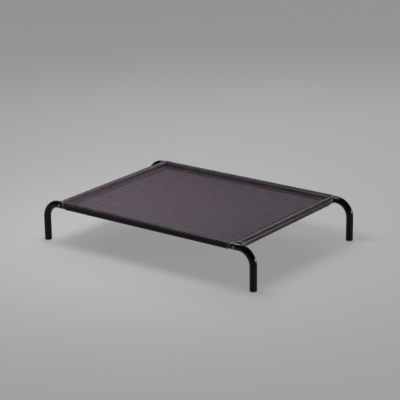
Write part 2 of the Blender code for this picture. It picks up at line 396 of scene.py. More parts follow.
@dataclass(frozen=True)
class Signal:
    """An output of a node, which Python's operators carry through Math nodes."""

    board: "NodeBoard"
    node: bpy.types.Node
    output: str | int

    @property
    def socket(self) -> bpy.types.NodeSocket:
        """The output's socket."""
        return self.board.found(self.node.outputs, self.output)

    def sibling(self, output: str) -> "Signal":
        """Another output of the same node."""
        return Signal(self.board, self.node, output)

    def maths(self, operation: str, *terms: "Signal | float") -> "Signal":
        """The result of a Math node with these terms."""
        return self.board.add("ShaderNodeMath", {"operation": operation}, dict(enumerate(terms)))

    def __add__(self, other: "Signal | float") -> "Signal":
        """The sum."""
        return self.maths("ADD", self, other)

    __radd__ = __add__

    def __sub__(self, other: "Signal | float") -> "Signal":
        """The difference."""
        return self.maths("SUBTRACT", self, other)

    def __rsub__(self, other: float) -> "Signal":
        """A number less this."""
        return self.maths("SUBTRACT", other, self)

    def __mul__(self, other: "Signal | float") -> "Signal":
        """The product."""
        return self.maths("MULTIPLY", self, other)

    __rmul__ = __mul__

    def __mod__(self, other: float) -> "Signal":
        """What is left after whole multiples are taken off, never negative."""
        return self.maths("FLOORED_MODULO", self, other)

    def floor(self) -> "Signal":
        """The whole number at or below this."""
        return self.maths("FLOOR", self)

    def sine(self) -> "Signal":
        """The sine."""
        return self.maths("SINE", self)

    def cosine(self) -> "Signal":
        """The cosine."""
        return self.maths("COSINE", self)

    def greatest(self, other: "Signal | float") -> "Signal":
        """The greater of two."""
        return self.maths("MAXIMUM", self, other)

    def above(self, other: "Signal | float") -> "Signal":
        """1 where this is above the other, else 0."""
        return self.maths("GREATER_THAN", self, other)

    def ramp(self, low: float, high: float) -> "Signal":
        """A soft ramp from 0 at low to 1 at high."""
        sockets = {"Value": self, "From Min": low, "From Max": high}
        return self.board.add("ShaderNodeMapRange", {"interpolation_type": "SMOOTHSTEP"}, sockets)

    def about(self, middle: float, spread: float) -> "Signal":
        """This share, 0 to 1, as a number about a middle, half the spread each way."""
        return self * spread + (middle - spread / 2)

    def stripes(self, pitch: float) -> "Signal":
        """A sine wave from 0 to 1, with one stripe every pitch."""
        return (self * (2 * math.pi / pitch)).sine() * 0.5 + 0.5


class NodeBoard:
    """The nodes of one material or of the world."""

    def __init__(self, owner: bpy.types.Material | bpy.types.World) -> None:
        """Keeps the owner and its tree of nodes, which it clears."""
        owner.use_nodes = True
        self.owner = owner
        self.tree = owner.node_tree
        self.tree.nodes.clear()

    @classmethod
    def of_material(cls, name: str) -> "NodeBoard":
        """The empty nodes of a new material."""
        return cls(bpy.data.materials.new(name))

    @staticmethod
    def found(sockets: Any, key: str | int) -> bpy.types.NodeSocket:
        """The first socket with a number, a name or Blender's own identifier.

        Args:
            sockets: A node's inputs or outputs.
            key: The number, name or identifier.

        Returns:
            The socket.
        """
        if isinstance(key, int):
            return sockets[key]
        return next(socket for socket in sockets if key in (socket.identifier, socket.name))

    def add(
        self,
        kind: str,
        settings: dict[str, Any] | None = None,
        sockets: dict[str | int, Any] | None = None,
        output: str | int = 0,
    ) -> Signal:
        """Adds a node.

        Args:
            kind: The node's type.
            settings: Properties of the node, set first.
            sockets: Values or signals for its inputs.
            output: The output that is wanted.

        Returns:
            That output.
        """
        node = self.tree.nodes.new(kind)
        for key, value in (settings or {}).items():
            setattr(node, key, value)
        for key, value in (sockets or {}).items():
            socket = self.found(node.inputs, key)
            if isinstance(value, Signal):
                self.tree.links.new(value.socket, socket)
            elif socket.type == "RGBA":
                socket.default_value = (*value, 1.0)
            else:
                socket.default_value = value
        return Signal(self, node, output)

    def mix(self, share: Signal, none: Colour | Signal, full: Colour | Signal) -> Signal:
        """A colour between two, with a share of the second."""
        sockets = {"Factor_Float": share, "A_Color": none, "B_Color": full}
        return self.add("ShaderNodeMix", {"data_type": "RGBA"}, sockets, "Result_Color")

    def place(self) -> Signal:
        """A point's place in its object's own coordinates, in metres."""
        return self.add("ShaderNodeTexCoord", output="Object")

    def flat_place(self) -> Signal:
        """A point's place on the flat cloth, from the piece's own map, in metres."""
        return self.add("ShaderNodeTexCoord", output="UV")

    def parts(self, place: Signal) -> tuple[Signal, Signal, Signal]:
        """A place's X, Y and Z."""
        x = self.add("ShaderNodeSeparateXYZ", sockets={"Vector": place})
        return x, x.sibling("Y"), x.sibling("Z")

    def noise(self, place: Signal, size: float, detail: float = 2.0) -> Signal:
        """Soft noise about 0.5, in patches of a size, with so many finer layers."""
        sockets = {"Vector": place, "Scale": 1 / size, "Detail": detail}
        return self.add("ShaderNodeTexNoise", sockets=sockets)

    def bump(self, height: Signal, depth: float, strength: float) -> Signal:
        """A normal bent by a height, of which 1 stands for the depth in metres."""
        sockets = {"Height": height, "Distance": depth, "Strength": strength}
        return self.add("ShaderNodeBump", sockets=sockets)

    def surface(self, shader: dict[str | int, Any]) -> bpy.types.Material:
        """Ends a material in a Principled shader.

        Args:
            shader: Values or signals for the shader's sockets.

        Returns:
            The material.
        """
        principled = self.add("ShaderNodeBsdfPrincipled", sockets=shader)
        self.add("ShaderNodeOutputMaterial", sockets={"Surface": principled})
        return self.owner


@dataclass(frozen=True)
class PowderCoat:
    """Gloss black powder coat: a faint orange peel, uneven gloss and a trace of scuffs near the floor."""

    colour: Colour = (0.0045, 0.0035, 0.0045)
    scuffed: Colour = (0.020, 0.018, 0.020)
    specular: float = 0.20
    roughness: float = 0.15
    uneven: float = 0.10
    patch_size: float = 0.06
    peel_size: float = 0.0018
    peel_depth: float = 0.00003
    peel_strength: float = 0.5
    scratch_size: float = 0.004
    scratch_limits: Pair = (0.62, 0.72)
    scuff_heights: Pair = (0.004, 0.03)
    scuff_amount: float = 0.6
    scuff_roughness: float = 0.2

    def material(self) -> bpy.types.Material:
        """Builds the material.

        Roughness drifts with noise. Scuffs are where fine noise passes a limit, near the floor only.

        Returns:
            The material.
        """
        board = NodeBoard.of_material("black_powder_coat")
        place = board.place()
        height = board.parts(place)[2]
        scratches = board.noise(place, self.scratch_size, detail=4.0).ramp(*self.scratch_limits)
        scuffs = scratches * (1 - height.ramp(*self.scuff_heights)) * self.scuff_amount
        gloss = board.noise(place, self.patch_size).about(self.roughness, self.uneven)
        peel = board.noise(place, self.peel_size)
        return board.surface(
            {
                "Base Color": board.mix(scuffs, self.colour, self.scuffed),
                "Roughness": gloss + scuffs * self.scuff_roughness,
                "Specular IOR Level": self.specular,
                "Normal": board.bump(peel, self.peel_depth, self.peel_strength),
            }
        )


@dataclass(frozen=True)
class MouldedPlastic:
    """Moulded plastic with a fine grain."""

    name: str
    colour: Colour
    specular: float = 0.4
    roughness: float = 0.5
    uneven: float = 0.12
    drift_size: float = 0.012
    drift_tones: Pair = (0.8, 1.25)
    grain_size: float = 0.0006
    grain_depth: float = 0.00004
    grain_strength: float = 0.6

    def material(self) -> bpy.types.Material:
        """Builds the material: colour and roughness drift with broad noise, and fine noise is the grain.

        Returns:
            The material.
        """
        board = NodeBoard.of_material(self.name)
        place = board.place()
        drift = board.noise(place, self.drift_size)
        darker, lighter = (tuple(part * tone for part in self.colour) for tone in self.drift_tones)
        grain = board.noise(place, self.grain_size, detail=3.0)
        return board.surface(
            {
                "Base Color": board.mix(drift, darker, lighter),
                "Roughness": drift.about(self.roughness, self.uneven),
                "Specular IOR Level": self.specular,
                "Normal": board.bump(grain, self.grain_depth, self.grain_strength),
            }
        )


@dataclass(frozen=True)
class PlatedSteel:
    """Plated steel: cloudy, with fine random marks."""

    name: str
    colour: Colour
    clouded: Colour
    roughness: float
    uneven: float = 0.2
    cloud_size: float = 0.003
    cloud_limits: Pair = (0.35, 0.7)
    mark_size: float = 0.0004
    mark_depth: float = 0.00002
    mark_strength: float = 0.5

    def material(self) -> bpy.types.Material:
        """Builds the material: two metal colours by cloudy noise, and fine marks in the bump.

        Returns:
            The material.
        """
        board = NodeBoard.of_material(self.name)
        place = board.place()
        clouds = board.noise(place, self.cloud_size, detail=3.0)
        marks = board.noise(place, self.mark_size)
        return board.surface(
            {
                "Base Color": board.mix(clouds.ramp(*self.cloud_limits), self.colour, self.clouded),
                "Metallic": 1.0,
                "Roughness": clouds.about(self.roughness, self.uneven),
                "Normal": board.bump(marks, self.mark_depth, self.mark_strength),
            }
        )


@dataclass(frozen=True)
class CoatedMesh:
    """Yarn with a clear coat, in a two by two twill whose warp is paler than its weft."""

    name: str
    warp: Colour
    weft: Colour
    # The gap colour is painted shade: the dark in the weave's low gaps between the yarns.
    gap: Colour = (0.012, 0.010, 0.012)
    warp_pitch: float = 0.0030
    weft_pitch: float = 0.00376
    repeat: int = 4
    rise: float = 0.45
    strands: int = 3
    strand_ripple: float = 0.12
    yarn_depth: float = 0.0006
    yarn_strength: float = 0.6
    specular: float = 0.08
    roughness: float = 0.5
    gap_roughness: float = 0.25
    gap_shade_limits: Pair = (0.3, 0.8)
    dull_limits: Pair = (0.4, 1.3)
    coat: float = 0.28
    coat_roughness: float = 0.24
    drift_size: float = 0.05
    drift_share: float = 0.3
    yarn_share: float = 0.15
    dust: Colour = (0.090, 0.081, 0.083)
    dust_size: float = 0.045
    dust_limits: Pair = (0.45, 0.7)
    dust_amount: float = 0.3

    def material(self) -> bpy.types.Material:
        """Builds the material on the cloth's own flat map, with the warp along X.

        A yarn's height is its cross-section plus a sine along it, which rises over two crossings and dives
        under two, one crossing later in each next yarn. The higher yarn shows, and the gaps are low and
        take a dark colour, which is painted shade.

        Returns:
            The material.
        """
        board = NodeBoard.of_material(self.name)
        flat = board.flat_place()
        along, across, _ = board.parts(flat)
        column = along * (1 / self.weft_pitch)
        row = across * (1 / self.warp_pitch)
        turn = 2 * math.pi / self.repeat
        over = ((column + row.floor()) % self.repeat * turn).sine()
        under = ((row + column.floor()) % self.repeat * turn).sine()
        warp = self.section(row) + over * self.rise
        weft = self.section(column) - under * self.rise
        height = warp.greatest(weft)
        tone = board.mix(weft.above(warp), self.warp, self.weft)
        drift = board.noise(flat, self.drift_size, detail=3.0) * self.drift_share
        worn = board.mix(drift + self.yarn_tone(row) * self.yarn_share, tone, self.weft)
        dusty = board.noise(flat, self.dust_size, detail=3.0).ramp(*self.dust_limits) * self.dust_amount
        yarn = board.mix(dusty, worn, self.dust)
        return board.surface(
            {
                # Low gaps take the dark gap colour, as painted shade.
                "Base Color": board.mix(height.ramp(*self.gap_shade_limits), self.gap, yarn),
                "Roughness": (1 - height.ramp(*self.dull_limits)) * self.gap_roughness + self.roughness,
                "Specular IOR Level": self.specular,
                "Coat Weight": self.coat,
                "Coat Roughness": self.coat_roughness,
                "Normal": board.bump(height, self.yarn_depth, self.yarn_strength),
            }
        )

    def section(self, across: Signal) -> Signal:
        """The height across yarns: half a cosine wave for each yarn, and a ripple for each of its strands.

        Args:
            across: The place across the yarns, in pitches.

        Returns:
            The height, about 1 in a yarn's middle and 0 at its sides.
        """
        place = across % 1.0 - 0.5
        ripple = (place * (2 * math.pi * self.strands)).cosine() * self.strand_ripple
        return (place * math.pi).cosine() + ripple

    def yarn_tone(self, row: Signal) -> Signal:
        """A random number from 0 to 1 for each warp yarn, the same all along it, from its row's number."""
        sockets = {"W": row.floor()}
        return row.board.add("ShaderNodeTexWhiteNoise", {"noise_dimensions": "1D"}, sockets, "Value")


@dataclass(frozen=True)
class BindingTape:
    """A ribbed woven tape, which binds the sling's cut corners."""

    colour: Colour = (0.110, 0.096, 0.112)
    # The darker colour in the grooves between the ribs: painted shade.
    groove_shade: Colour = (0.048, 0.041, 0.049)
    roughness: float = 0.6
    uneven: float = 0.2
    coat: float = 0.35
    coat_roughness: float = 0.25
    rib: float = 0.0008
    rib_share: float = 0.7
    rib_depth: float = 0.00015
    rib_strength: float = 0.7
    fuzz_size: float = 0.0006

    def material(self) -> bpy.types.Material:
        """Builds the material: a rib across the tape every pitch along it, in the bump and in the colour,
        whose darker grooves between the ribs are painted shade.

        Returns:
            The material.
        """
        board = NodeBoard.of_material("binding_tape")
        flat = board.flat_place()
        ribs = board.parts(flat)[0].stripes(self.rib)
        fuzz = board.noise(flat, self.fuzz_size, detail=3.0)
        # Low share in the rib grooves gives the darker groove colour, as painted shade.
        pale = ribs * self.rib_share + fuzz * (1 - self.rib_share)
        return board.surface(
            {
                "Base Color": board.mix(pale, self.groove_shade, self.colour),
                "Roughness": fuzz.about(self.roughness, self.uneven),
                "Coat Weight": self.coat,
                "Coat Roughness": self.coat_roughness,
                "Normal": board.bump(ribs, self.rib_depth, self.rib_strength),
            }
        )


@dataclass(frozen=True)
class Thread:
    """Bonded polyester thread with a fine twist."""

    colour: Colour = (0.035, 0.027, 0.034)
    # The paler colour of the twist bands is a painted sheen.
    sheen: Colour = (0.080, 0.061, 0.078)
    specular: float = 0.1
    roughness: float = 0.5
    twist: float = 0.0007
    twist_depth: float = 0.00008
    twist_strength: float = 0.6

    def material(self) -> bpy.types.Material:
        """Builds the material: slanting bands, one every twist, in the bump and in the colour, whose paler
        bands are a painted sheen.

        Returns:
            The material.
        """
        board = NodeBoard.of_material("thread")
        x, y, z = board.parts(board.place())
        bands = (x + y + z).stripes(self.twist)
        return board.surface(
            {
                "Base Color": board.mix(bands, self.colour, self.sheen),
                "Roughness": self.roughness,
                "Specular IOR Level": self.specular,
                "Normal": board.bump(bands, self.twist_depth, self.twist_strength),
            }
        )


# The steel frame


@dataclass(frozen=True)
class TubeFrame:
    """The two rails, each with its legs in one bent tube, and the two straight crossbars."""

    layout: Layout
    sides: int = 64
    leg_steps: int = 5
    bend_steps: int = 33
    straight_steps: int = 25

    def build(self, finish: bpy.types.Material) -> None:
        """Puts the four tubes into the scene.

        Args:
            finish: The tubes' material.
        """
        for kind, places, shape in (("rail", Side, self.rail), ("crossbar", End, self.crossbar)):
            for place in places:
                node = f"{place.name.lower()}_{kind}"
                make_piece(f"{node}_tube", shape(place), finish, "powder_coat", node)

    def rail_path(self) -> tuple[Numbers, Numbers]:
        """A rail's axis, up the left leg, round the bend, along, and down the right leg.

        Returns:
            The axis as (x, z) points, and the angle of the normal that points out of the bends.
        """
        size = self.layout
        shoulder = size.leg_spacing / 2 - size.bend_radius
        spring = size.rail_height - size.bend_radius
        heights = np.linspace(size.leg_bottom, spring, self.leg_steps + 1)[:-1]
        leg = np.stack([np.full(self.leg_steps, -size.leg_spacing / 2), heights], 1)
        turn = np.linspace(math.pi, QUARTER, self.bend_steps)
        bend = arc((-shoulder, spring), size.bend_radius, turn)
        run = np.linspace(-shoulder, 0, self.straight_steps)[1:]
        level = np.stack([run, np.full(len(run), size.rail_height)], 1)
        left = np.vstack([leg, bend, level])
        facing = np.concatenate([np.full(len(leg), math.pi), turn, np.full(len(run), QUARTER)])
        right = left[-2::-1] * (-1, 1)
        return np.vstack([left, right]), np.concatenate([facing, math.pi - facing[-2::-1]])

    def rail(self, side: Side) -> Shape:
        """A bent tube: a circle carried along the rail's axis, out along the outer wall and back inside.

        A point is the axis's point, plus the radius times the cosine of the angle round the tube along the
        axis's normal, plus the radius times the sine along Y.

        Args:
            side: Which rail.

        Returns:
            The tube.
        """
        size = self.layout
        path, facing = self.rail_path()
        angles = ring_angles(self.sides)
        walls = []
        for radius in (size.tube_radius, size.bore):
            out = radius * np.cos(angles)
            x = path[:, :1] + out * np.cos(facing)[:, None]
            y = side.value * size.rail_spacing / 2 + radius * np.sin(angles)
            z = path[:, 1:] + out * np.sin(facing)[:, None]
            walls.append(np.stack(np.broadcast_arrays(x, y, z), -1))
        return ring_solid(np.vstack([walls[0], walls[1][::-1]]))

    def crossbar(self, end: End) -> Shape:
        """A straight tube whose ends are shaped to the rails.

        At each point round the tube the end stops where it meets the rail: at half the rail spacing, less
        the root of the rail's radius squared less the point's height squared.

        Args:
            end: Which crossbar.

        Returns:
            The tube.
        """
        size = self.layout
        angles = ring_angles(self.sides)
        share = np.linspace(-1, 1, 2 * self.straight_steps - 1)[:, None]
        seat = size.tube_radius + size.fit
        walls = []
        for radius in (size.tube_radius, size.bore):
            height = radius * np.sin(angles)
            x = end.value * size.crossbar_spacing / 2 + radius * np.cos(angles)
            y = share * (size.rail_spacing / 2 - np.sqrt(seat**2 - height**2))
            walls.append(np.stack(np.broadcast_arrays(x, y, size.rail_height + height), -1))
        return ring_solid(np.vstack([walls[0], walls[1][::-1]]))


@dataclass(frozen=True)
class FootCaps:
    """The four moulded caps in the leg ends: a rounded foot with a tread, and a ribbed hollow stem."""

    layout: Layout
    head_height: float = 0.005
    edge_radius: float = 0.0025
    edge_steps: int = 9
    rim_bevel: float = 0.0004
    tread_radii: tuple[float, ...] = (0.0058, 0.0063, 0.0075, 0.0080)
    tread_depth: float = 0.0006
    stem_length: float = 0.018
    stem_wall: float = 0.002
    stem_taper: float = 0.0005
    rib_count: int = 3
    rib_start: float = 0.002
    rib_pitch: float = 0.005
    rib_depth: float = 0.0007
    rib_heights: tuple[float, ...] = (0.0, 0.0003, 0.0013, 0.0023)
    sides: int = 48

    def build(self, finish: bpy.types.Material) -> None:
        """Puts the four caps into the scene.

        Args:
            finish: The caps' material.
        """
        grid = turned(self.profile(), self.sides)
        half_x, half_y = self.layout.leg_spacing / 2, self.layout.rail_spacing / 2
        for corner in CORNERS:
            shape = capped_solids(grid[None] + (corner.end.value * half_x, corner.side.value * half_y, 0))
            make_piece(f"foot_{corner.name}", shape, finish, "foot_plastic", f"foot_cap_{corner.name}")

    def profile(self) -> Numbers:
        """The cap's outline: (radius, height) points from under the foot, out, up the ribs and back down.

        Returns:
            The points.
        """
        radius = self.layout.tube_radius
        bore = self.layout.bore - self.layout.fit
        core = bore - self.rib_depth
        hollow = core - self.stem_wall
        top = self.head_height + self.stem_length
        tread = np.stack([self.tread_radii, (0, self.tread_depth, self.tread_depth, 0)], 1)
        turn = np.linspace(-QUARTER, 0, self.edge_steps)
        foot = arc((radius - self.edge_radius, self.edge_radius), self.edge_radius, turn)
        rim = [(radius, self.head_height - self.rim_bevel), (radius - self.rim_bevel, self.head_height)]
        rib = np.stack([(core, bore, bore, core), self.rib_heights], 1)
        first = self.head_height + self.rib_start
        ribs = [rib + (0, first + count * self.rib_pitch) for count in range(self.rib_count)]
        stem = [(core - self.stem_taper, top), (hollow, top), (hollow, self.head_height)]
        return np.vstack([tread, foot, rim, [(core, self.head_height)], *ribs, stem])


@dataclass(frozen=True)
class CornerFastenings:
    """At each corner a button-head bolt with a hexagon socket, and a saddle washer bent to the rail."""

    layout: Layout
    bolt_radius: float = 0.003
    bolt_length: float = 0.045
    tip_chamfer: float = 0.0008
    head_radius: float = 0.00525
    head_height: float = 0.0033
    head_side: float = 0.0007
    head_bevel: float = 0.0002
    dome_steps: int = 10
    socket_width: float = 0.004
    socket_depth: float = 0.002
    socket_rim: float = 0.0009
    washer_radius: float = 0.008
    washer_thickness: float = 0.0015
    washer_bevel: float = 0.0003
    washer_steps: int = 6
    sides: int = 48

    def build(self, steel: bpy.types.Material, bronze: bpy.types.Material) -> None:
        """Puts the bolts and the washers into the scene.

        Args:
            steel: The bolts' material.
            bronze: The washers' material.
        """
        bolt, washer = self.bolt(), self.washer()
        for corner in CORNERS:
            shape = capped_solids(self.placed(bolt, corner)[None])
            make_piece(f"bolt_{corner.name}", shape, steel, "zinc", f"corner_bolt_{corner.name}")
            shape = ring_solid(self.placed(washer, corner))
            make_piece(f"washer_{corner.name}", shape, bronze, "zinc", f"saddle_washer_{corner.name}")

    def placed(self, grid: Numbers, corner: Corner) -> Numbers:
        """Turns a grid from its own axes, with Z out of the rail, to its corner of the bed.

        Args:
            grid: Points round the origin, which is on the rail's axis.
            corner: Which corner.

        Returns:
            The points where the bed has them.
        """
        size = self.layout
        x = corner.end.value * size.crossbar_spacing / 2 - corner.side.value * grid[..., 0]
        y = corner.side.value * (size.rail_spacing / 2 + grid[..., 2])
        return np.stack([x, y, size.rail_height + grid[..., 1]], -1)

    def bolt(self) -> Numbers:
        """A bolt from its tip to its socket: a profile carried round, whose last rings are hexagons.

        The dome is a quarter of an ellipse. A hexagon's radius is half its width over the cosine of the
        angle from the middle of the nearest flat.

        Returns:
            The bolt's rings.
        """
        seat = self.layout.tube_radius + self.layout.fit * 2 + self.washer_thickness
        tip = seat - self.bolt_length
        top = seat + self.head_height
        crown = self.socket_width / 2 + self.socket_rim
        shank = [
            (self.bolt_radius - self.tip_chamfer, tip),
            (self.bolt_radius, tip + self.tip_chamfer),
            (self.bolt_radius, seat),
            (self.head_radius - self.head_bevel, seat),
        ]
        lean = np.linspace(0, QUARTER, self.dome_steps)
        dome_out = crown + (self.head_radius - crown) * np.cos(lean)
        dome_up = seat + self.head_side + (self.head_height - self.head_side) * np.sin(lean)
        body = turned(np.vstack([shank, np.stack([dome_out, dome_up], 1)]), self.sides)
        angles = ring_angles(self.sides)
        flat = math.pi / 3
        radius = self.socket_width / 2 / np.cos((angles + flat / 2) % flat - flat / 2)
        heights = np.array([top, top - self.socket_depth])[:, None]
        socket = np.broadcast_arrays(radius * np.cos(angles), radius * np.sin(angles), heights)
        return np.concatenate([body, np.stack(socket, -1)])

    def washer(self) -> Numbers:
        """A flat ring bent over the rail: a place y and height h give (R + h) times sin and cos of y / R.

        Returns:
            The ring's section, carried round and closed both ways.
        """
        hole, outer = self.bolt_radius + self.layout.fit, self.washer_radius
        shoulder = self.washer_thickness - self.washer_bevel
        middle = np.linspace(hole + self.washer_bevel, outer - self.washer_bevel, self.washer_steps)
        under = np.stack([middle, np.zeros(len(middle))], 1)
        over = under[::-1] + (0, self.washer_thickness)
        outside = [(outer, 0), (outer, shoulder)]
        section = np.vstack([[(hole, 0)], under, outside, over, [(hole, shoulder)]])
        ring = turned(section, self.sides)
        base = self.layout.tube_radius + self.layout.fit
        bend = ring[..., 1] / base
        reach = base + ring[..., 2]
        return np.stack([ring[..., 0], reach * np.sin(bend), reach * np.cos(bend)], -1)


def dress_plugs(finish: bpy.types.Material) -> None:
    """Gives the four threaded plugs, which stay as the CAD has them, their material.

    Args:
        finish: The material.
    """
    for corner in CORNERS:
        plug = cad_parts[f"threaded_plug_{corner.name}"]
        plug.data.materials.clear()
        plug.data.materials.append(finish)
        log.info("%s: dressed", plug.name)


# The sling


@dataclass(frozen=True)
class SlingFinishes:
    """The materials of the sling's cloth, tapes and thread. The sleeves' cloth is the panel's mesh made
    darker: on the crossbars partly for the black tube under the open weave and partly as painted shade, on
    the rails darker still and with less coat, as painted shade.
    """

    panel: bpy.types.Material
    on_rails: bpy.types.Material
    on_crossbars: bpy.types.Material
    tape: bpy.types.Material
    thread: bpy.types.Material


@dataclass(frozen=True)
class Outline:
    """A sleeve's middle line in cross-section, by the length of cloth from its upper free edge.

    Each row of the line is how far inward of the tube's axis, how far above it, and the angle of the normal
    that points out of the sleeve. The top is the length at which the line passes over the tube.
    """

    lengths: Numbers
    line: Numbers
    top: float

    @property
    def total(self) -> float:
        """The width of the sleeve's strip of cloth, from free edge to free edge."""
        return float(self.lengths[-1])

    def at(self, length: Numbers) -> list[Numbers]:
        """The inward place, the height and the normal's angle at lengths from the upper free edge."""
        return read_off(length, self.lengths, self.line)


@dataclass(frozen=True)
class Stitch:
    """One stitch of a row, a rounded rod whose ends dip into the cloth."""

    pitch: float = 0.004
    length: float = 0.0032
    radius: float = 0.00028
    sides: int = 6
    stations: tuple[float, ...] = (-1.0, -0.82, 0.0, 0.82, 1.0)
    girths: tuple[float, ...] = (0.4, 0.9, 1.0, 0.9, 0.4)
    lift: float = 0.5
    dip: float = 1.2
    stray: float = 0.00012
    row_end: float = 0.004

    def rod(self) -> tuple[Numbers, Numbers, Numbers]:
        """A ring at each station, whose middle falls by the dip times the square of its place.

        Returns:
            Each point's place along the stitch, across it and above the cloth.
        """
        reach = np.array(self.stations)[:, None]
        girth = np.array(self.girths)[:, None] * self.radius
        angles = ring_angles(self.sides)
        along = np.broadcast_to(reach * self.length / 2, (len(reach), self.sides))
        rise = girth * np.sin(angles) + self.radius * (self.lift - self.dip * reach**2)
        return along, girth * np.cos(angles), rise


@dataclass(frozen=True)
class TapeFold:
    """A tape folded over a cut edge, with a row of stitches at a share of its width."""

    width: float = 0.006
    thickness: float = 0.0004
    gap: float = 0.00005
    leg_steps: int = 5
    bend_steps: int = 9
    stitch_line: float = 0.7

    def section(self, cloth: float) -> Numbers:
        """A hairpin: along the outer face, round the edge and back, then the same along the inner face.

        Args:
            cloth: The thickness of the cloth.

        Returns:
            Points as how far into the cloth and how far out of its middle.
        """
        into = np.linspace(self.width, 0, self.leg_steps)[:-1]
        inner = cloth / 2 + self.gap
        faces = []
        for lift in (inner + self.thickness, inner):
            leg = np.stack([into, np.full(len(into), lift)], 1)
            bend = arc((0, 0), lift, np.linspace(QUARTER, 3 * QUARTER, self.bend_steps))
            faces.append(np.vstack([leg, bend, leg[::-1] * (1, -1)]))
        return np.vstack([faces[0], faces[1][::-1]])


@dataclass
class Sling:
    """The mesh panel and the four sleeves, whose corners are cut off slanting and bound with tape."""

    layout: Layout
    thickness: float = 0.0008
    ease: float = 0.0006
    layer_step: float = 0.00095
    seam_drop: float = 0.0025
    seam_width: float = 0.018
    seam_fillet: float = 0.004
    fillet_steps: int = 24
    loop_steps: int = 160
    sleeve_grid: tuple[int, int] = (104, 230)
    panel_grid: tuple[int, int] = (178, 222)
    sag: float = 0.006
    rim_share: float = 0.2
    cut_start: float = 0.002
    rail_cut: Pair = (0.74, 0.032)
    crossbar_cut: Pair = (1.35, 0.048)
    cut_rounding: float = 0.0015
    cut_margin: float = 0.002
    cut_samples: int = 80
    cut_steps: int = 110
    mitre_gap: float = 0.0003
    mitre_blend: float = 0.002
    pucker: float = 0.0001
    pucker_waves: Pair = (0.043, 0.019)
    pucker_shift: float = 2.3
    short_pucker: float = 0.6
    pucker_start: float = 0.004
    pucker_end: Pair = (0.042, 0.060)
    corner_room: Pair = (0.040, 0.060)
    fold: float = 0.0003
    fold_wave: float = 0.014
    fold_fade: float = 0.03
    fold_start: Pair = (0.036, 0.046)
    tension_fold: float = 0.0007
    tension_rays: int = 11
    tension_fade: float = 0.09
    stitch_rows: Pair = (0.004, 0.0135)
    first_seed: int = 10
    stitch: Stitch = Stitch()
    tape: TapeFold = TapeFold()
    outline: Outline = field(init=False)

    def __post_init__(self) -> None:
        """Works out the sleeves' cross-section, which the other methods share."""
        self.outline = self.cross_section()

    def cross_section(self) -> Outline:
        """The sleeve's middle line: flap, fillet, loop round the tube, fillet and flap.

        The loop's and each fillet's circles touch, so their centres are the sum of their radii apart. A
        fillet's normal points to its centre, so its radius counts as negative.

        Returns:
            The outline, from the upper free edge to the lower.
        """
        loop = self.layout.tube_radius + self.ease + self.thickness / 2
        reach = loop + self.seam_fillet
        upper, lower = self.layer_step - self.seam_drop, -self.layer_step - self.seam_drop
        above, below = upper + self.seam_fillet, lower - self.seam_fillet
        above_in, below_in = math.sqrt(reach**2 - above**2), math.sqrt(reach**2 - below**2)
        first = math.atan2(above, above_in)
        last = 2 * math.pi + math.atan2(below, below_in)
        angles = [
            np.linspace(QUARTER, first, self.fillet_steps),
            np.linspace(first, last, self.loop_steps)[1:-1],
            np.linspace(last, 3 * QUARTER, self.fillet_steps),
        ]
        centres = [(above_in, above), (0, 0), (below_in, below)]
        radii = [-self.seam_fillet, loop, -self.seam_fillet]
        bends = [arc(*circle) for circle in zip(centres, radii, angles)]
        edge = above_in + self.seam_width
        places = np.vstack([[(edge, upper)], *bends, [(edge, lower)]])
        normals = np.concatenate([[QUARTER], *angles, [3 * QUARTER]])
        top = self.seam_width + reach * (QUARTER - first)
        return Outline(travelled(places), np.column_stack([places, normals]), top)

    @property
    def edge_in(self) -> float:
        """How far inward of a tube's axis the flaps' free edges are."""
        return float(self.outline.line[0, 0])

    def cut_end(self, edge: Edge, length: Numbers) -> Numbers:
        """How far short of the crossing tube's axis a sleeve ends.

        It is the cut line, which starts over the tube, slants back and levels out, but never less than the
        mitre, which lies as far from one tube's axis as from the other's.

        Args:
            edge: Which sleeve.
            length: The length of cloth from the upper free edge.

        Returns:
            The distance.
        """
        slope, limit = self.rail_cut if edge.on_rail else self.crossbar_cut
        slant = self.cut_start + slope * (length - self.outline.top)
        cut = soft_least(slant, limit, self.cut_rounding)
        mitre = self.outline.at(length)[0] + self.thickness / 2 + self.mitre_gap
        return -soft_least(-cut, -mitre, self.cut_rounding)

    def to_world(self, edge: Edge, along: Numbers, inward: Numbers, height: Numbers | float) -> Numbers:
        """Turns places along and inward of an edge's tube into places on the bed.

        Args:
            edge: Which edge.
            along: How far along the tube from its middle.
            inward: How far inward of its axis.
            height: How far above its axis.

        Returns:
            The points.
        """
        cosine, sine = edge.turn
        out = inward - self.layout.half_span(edge)
        x, y = cosine * along - sine * out, sine * along + cosine * out
        return np.stack(np.broadcast_arrays(x, y, height + self.layout.rail_height), -1)

    def from_world(self, edge: Edge, x: Numbers, y: Numbers) -> tuple[Numbers, Numbers]:
        """Turns places on the bed into how far along an edge's tube, and how far inward of its axis."""
        cosine, sine = edge.turn
        return cosine * x + sine * y, cosine * y - sine * x + self.layout.half_span(edge)

    def puckers(self, edge: Edge, along: Numbers, inward: Numbers) -> Numbers:
        """The small waves that the stitches draw into a seam: two sines along it, faded out round it.

        Args:
            edge: Which edge.
            along: How far along the tube.
            inward: How far inward of its axis.

        Returns:
            How far each place is raised.
        """
        start = self.edge_in - self.seam_width
        long, short = (2 * math.pi * along / wave for wave in self.pucker_waves)
        shift = self.pucker_shift * edge.value
        waves = np.sin(long + edge.value) + self.short_pucker * np.sin(short + shift)
        across = smooth_step(start, start + self.pucker_start, inward)
        across = across * (1 - smooth_step(*self.pucker_end, inward))
        room = self.layout.half_length(edge) - np.abs(along)
        return self.pucker * waves * across * smooth_step(*self.corner_room, room)

